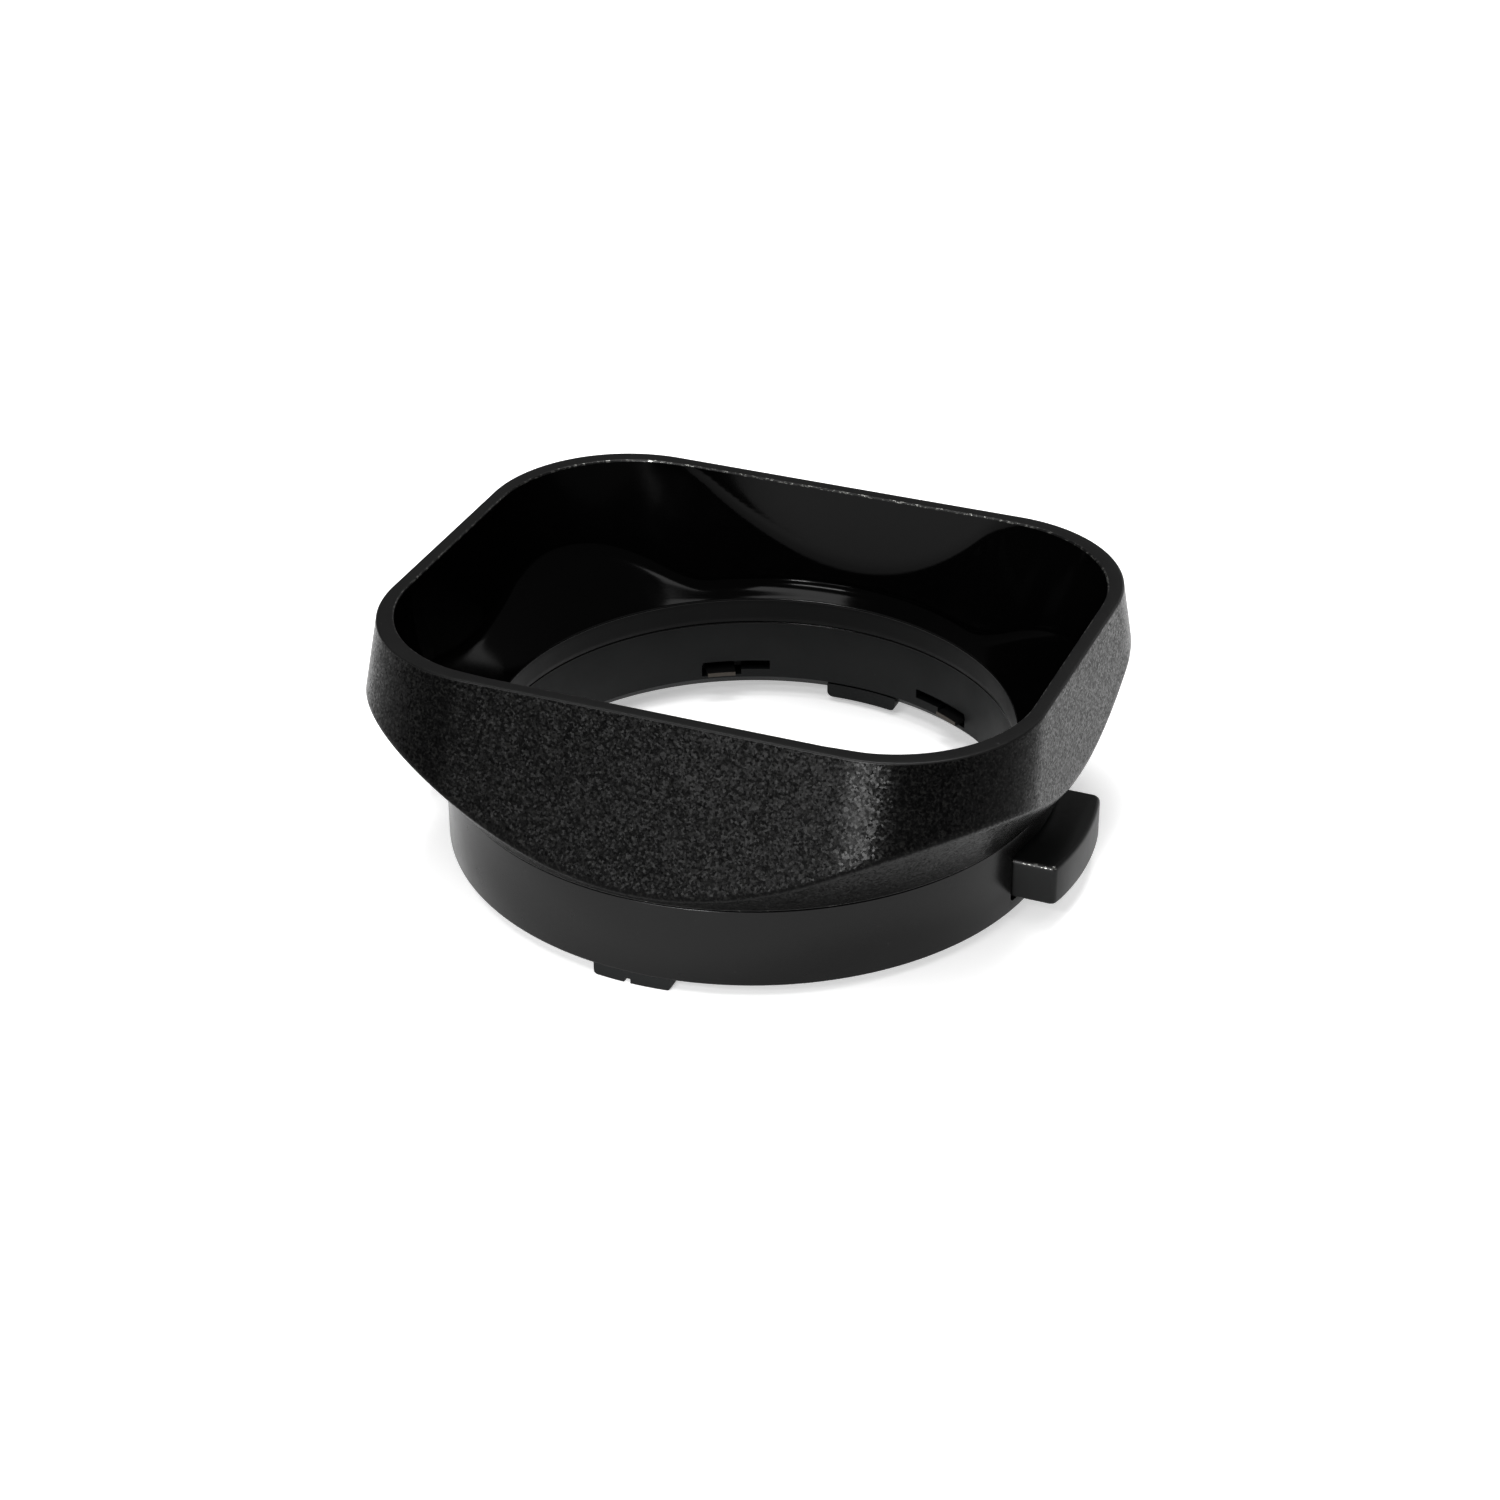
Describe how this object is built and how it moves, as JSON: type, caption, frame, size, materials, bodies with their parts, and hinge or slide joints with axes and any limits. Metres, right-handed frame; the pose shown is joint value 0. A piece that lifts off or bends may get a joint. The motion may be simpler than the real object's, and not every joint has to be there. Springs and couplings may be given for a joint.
{
  "type": "lens hood",
  "caption": "Clip-on lens hood: rounded-rectangular shade on a round collar with a mounting sleeve, sprung release tabs at the sides and retracting claws.",
  "frame": {"origin": "centre of the collar's rear edge, on the axis of the lens bore", "axes": "+Z along the optical axis towards the mouth, X along the mouth's long direction and through both side tabs, -Y towards the locating key that has a small notch"},
  "size_m": [0.0636, 0.0576, 0.024],
  "materials": {
    "shade_paint": "black, fine textured powder coat",
    "collar_paint": "satin black",
    "sleeve_paint": "matt black",
    "tab_paint": "satin black",
    "spring_steel": "blued spring steel",
    "claw_steel": "blackened steel",
    "screw_steel": "blackened steel"
  },
  "bodies": {
    "housing": {"shade": "shade_paint", "collar": "collar_paint", "mount_sleeve": "sleeve_paint", "spring_band": "spring_steel", "flange_screw_1": "screw_steel", "flange_screw_2": "screw_steel", "flange_screw_3": "screw_steel", "flange_screw_4": "screw_steel", "rear_screw_1": "screw_steel", "rear_screw_2": "screw_steel", "rear_screw_3": "screw_steel", "rear_screw_4": "screw_steel"},
    "right_slider": {"right_tab": "tab_paint", "right_slider_plate": "spring_steel", "right_tab_screw_1": "screw_steel", "right_tab_screw_2": "screw_steel"},
    "left_slider": {"left_tab": "tab_paint", "left_slider_plate": "spring_steel", "left_tab_screw_1": "screw_steel", "left_tab_screw_2": "screw_steel"},
    "far_claws": {"far_claw_plate": "claw_steel", "far_claw_rivet_1": "claw_steel", "far_claw_rivet_2": "claw_steel"},
    "near_claws": {"near_claw_plate": "claw_steel", "near_claw_rivet_1": "claw_steel", "near_claw_rivet_2": "claw_steel"}
  },
  "joints": [
    {"name": "right_tab_press", "type": "slide", "parent": "housing", "child": "right_slider", "axis": [-1, 0, 0], "range_m": [0, 0.00095], "stiffness_N_per_m": 1500, "springref_m": -0.001, "deforming": ["spring_band"]},
    {"name": "left_tab_press", "type": "slide", "parent": "housing", "child": "left_slider", "axis": [1, 0, 0], "range_m": [0, 0.00095]},
    {"name": "far_claws_open", "type": "slide", "parent": "housing", "child": "far_claws", "axis": [0, 1, 0], "range_m": [0, 0.00095]},
    {"name": "near_claws_open", "type": "slide", "parent": "housing", "child": "near_claws", "axis": [0, -1, 0], "range_m": [0, 0.00095]}
  ],
  "couplings": [
    {"joint": "left_tab_press", "follows": "right_tab_press", "ratio": 1},
    {"joint": "far_claws_open", "follows": "right_tab_press", "ratio": 1},
    {"joint": "near_claws_open", "follows": "right_tab_press", "ratio": 1}
  ]
}
